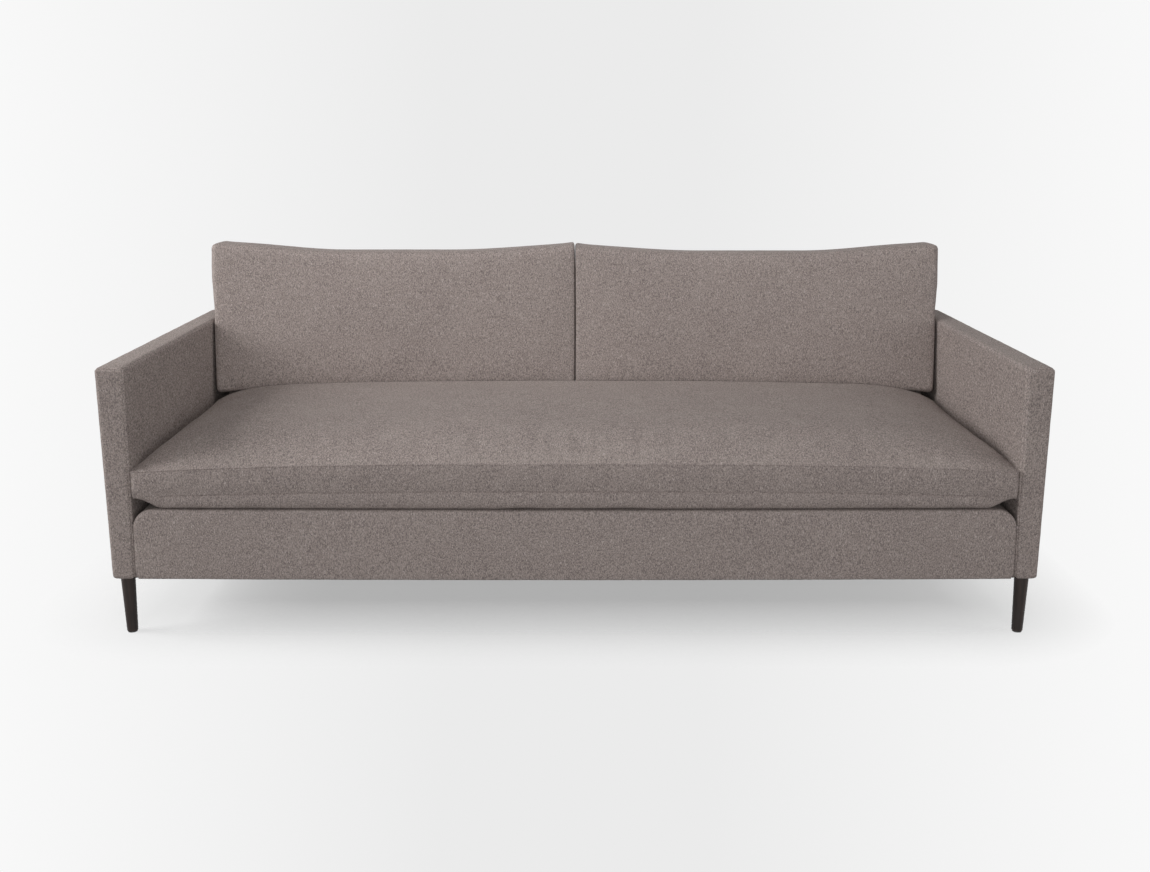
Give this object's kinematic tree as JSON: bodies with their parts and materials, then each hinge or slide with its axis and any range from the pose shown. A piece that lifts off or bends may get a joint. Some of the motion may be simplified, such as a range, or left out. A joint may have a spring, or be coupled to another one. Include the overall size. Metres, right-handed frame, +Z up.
{
  "type": "four-seater sofa",
  "caption": "Long upholstered sofa with thin straight arms, a bench seat cushion, loose back cushions and tapered dark wood legs.",
  "frame": {"origin": "on the floor under the middle of the sofa, halfway between the front of the border and the outside back", "axes": "+X across the sofa to its right-hand arm as seen from the front, +Y towards the back, +Z up; the sofa faces -Y"},
  "size_m": [2.16, 0.97, 0.8676],
  "materials": {
    "upholstery": "woven felted wool blend, warm grey-taupe",
    "lining": "plain calico lining",
    "black_cloth": "black non-woven cloth",
    "foam": "polyurethane foam",
    "fibre": "white polyester fibre",
    "hessian": "jute hessian",
    "webbing": "elastic webbing",
    "hardwood": "kiln-dried hardwood, planed",
    "lining_board": "hardboard",
    "dark_wood": "turned hardwood, dark brown stain, satin lacquer",
    "spring_steel": "drawn spring steel",
    "zinc_steel": "zinc-plated steel",
    "brass": "turned brass",
    "zip_coil": "moulded nylon coil",
    "slider_metal": "dark plated zip slider",
    "glide": "black nylon"
  },
  "bodies": {
    "carcass": {"arm_front_panel_left": "upholstery", "arm_front_panel_right": "upholstery", "inside_arm_cover_left": "upholstery", "inside_arm_cover_right": "upholstery", "outside_arm_cover_left": "upholstery", "outside_arm_cover_right": "upholstery", "inside_back_cover": "upholstery", "outside_back_cover": "upholstery", "border_cover": "upholstery", "deck_cover": "lining", "dust_cover": "black_cloth", "arm_padding_left": "foam", "arm_padding_right": "foam", "back_padding": "foam", "border_padding": "foam", "deck_padding": "foam", "deck_hessian": "hessian", "back_webbing": "webbing", "front_rail": "hardwood", "rear_rail": "hardwood", "side_rail_left": "hardwood", "side_rail_right": "hardwood", "seat_spreaders": "hardwood", "corner_blocks": "hardwood", "front_post_left": "hardwood", "front_post_right": "hardwood", "rear_post_left": "hardwood", "rear_post_right": "hardwood", "arm_top_rail_left": "hardwood", "arm_top_rail_right": "hardwood", "arm_stays": "hardwood", "back_top_rail": "hardwood", "back_lower_rail": "hardwood", "back_stays": "hardwood", "frame_dowels": "hardwood", "lining_boards": "lining_board", "front_leg_left": "dark_wood", "front_leg_right": "dark_wood", "rear_leg_left": "dark_wood", "rear_leg_right": "dark_wood", "centre_leg": "dark_wood", "seat_springs": "spring_steel", "spring_tie_wires": "spring_steel", "spring_clips": "zinc_steel", "leg_bolts": "zinc_steel", "leg_inserts": "brass", "leg_glides": "glide"},
    "seat_cushion": {"seat_cushion_cover": "upholstery", "seat_cushion_core": "foam", "seat_cushion_wrap": "fibre", "seat_cushion_zip": "zip_coil"},
    "back_cushion_left": {"back_cushion_cover_left": "upholstery", "back_cushion_fill_left": "fibre", "back_cushion_zip_left": "zip_coil"},
    "back_cushion_right": {"back_cushion_cover_right": "upholstery", "back_cushion_fill_right": "fibre", "back_cushion_zip_right": "zip_coil"},
    "seat_zip_slider": {"seat_zip_slider": "slider_metal"},
    "back_zip_slider_left": {"back_zip_slider_left": "slider_metal"},
    "back_zip_slider_right": {"back_zip_slider_right": "slider_metal"}
  },
  "joints": [
    {"name": "seat_cushion_pull_out", "type": "slide", "parent": "carcass", "child": "seat_cushion", "axis": [0, -1, 0], "range_m": [0, 0.9]},
    {"name": "back_cushion_left_lift", "type": "slide", "parent": "carcass", "child": "back_cushion_left", "axis": [0, 0, 1], "range_m": [0, 0.42]},
    {"name": "back_cushion_right_lift", "type": "slide", "parent": "carcass", "child": "back_cushion_right", "axis": [0, 0, 1], "range_m": [0, 0.42]},
    {"name": "seat_zip_slide", "type": "slide", "parent": "seat_cushion", "child": "seat_zip_slider", "axis": [-1, 0, 0], "range_m": [0, 1.686]},
    {"name": "back_zip_left_slide", "type": "slide", "parent": "back_cushion_left", "child": "back_zip_slider_left", "axis": [1, 0, 0], "range_m": [0, 0.786]},
    {"name": "back_zip_right_slide", "type": "slide", "parent": "back_cushion_right", "child": "back_zip_slider_right", "axis": [-1, 0, 0], "range_m": [0, 0.786]}
  ]
}
